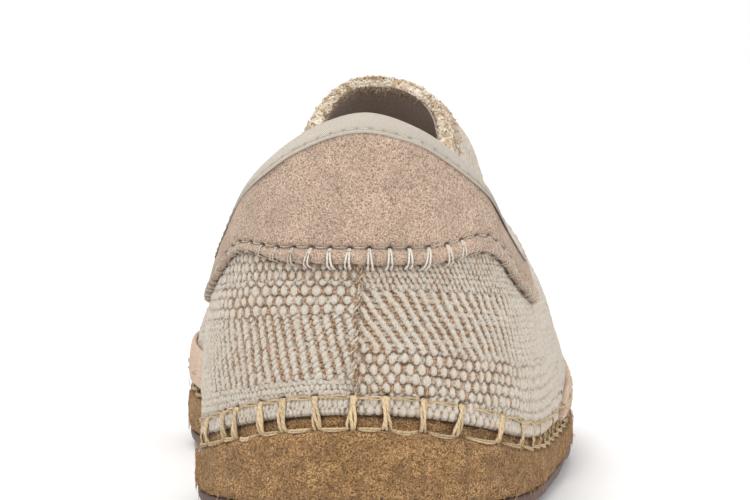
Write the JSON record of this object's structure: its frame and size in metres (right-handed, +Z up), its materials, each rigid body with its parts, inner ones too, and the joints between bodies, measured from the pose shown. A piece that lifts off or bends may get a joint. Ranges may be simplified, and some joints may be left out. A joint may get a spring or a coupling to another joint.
{
  "type": "slip-on sneaker",
  "caption": "Low slip-on sneaker for the right foot with a woven textile upper, suede heel patch and toe band, frayed instep rim, jute platform and thin rubber outsole",
  "frame": {"origin": "middle of the outline on the floor that the sole rests on", "axes": "+Y to the toe, +X to the outer side of the right foot, +Z up"},
  "size_m": [0.1068, 0.2934, 0.1025],
  "materials": {
    "outsole_rubber": "matte dark brown rubber",
    "jute": "fuzzy jute felt, matte",
    "lining": "plain grey-brown lining cloth",
    "textile": "puffy ecru yarn floats over tan yarn",
    "suede": "napped pink-beige suede",
    "twill_tape": "fine cream twill tape",
    "frayed_yarn": "frayed ecru and tan yarn ends",
    "seam_yarn": "fuzzy tan seam yarn"
  },
  "bodies": {
    "root": {"outsole": "outsole_rubber", "midsole": "jute", "insole": "lining", "upper": "textile", "heel_patch": "suede", "collar_binding": "twill_tape", "throat_fringe": "frayed_yarn", "toe_guard": "suede", "back_seam": "seam_yarn"}
  },
  "joints": []
}
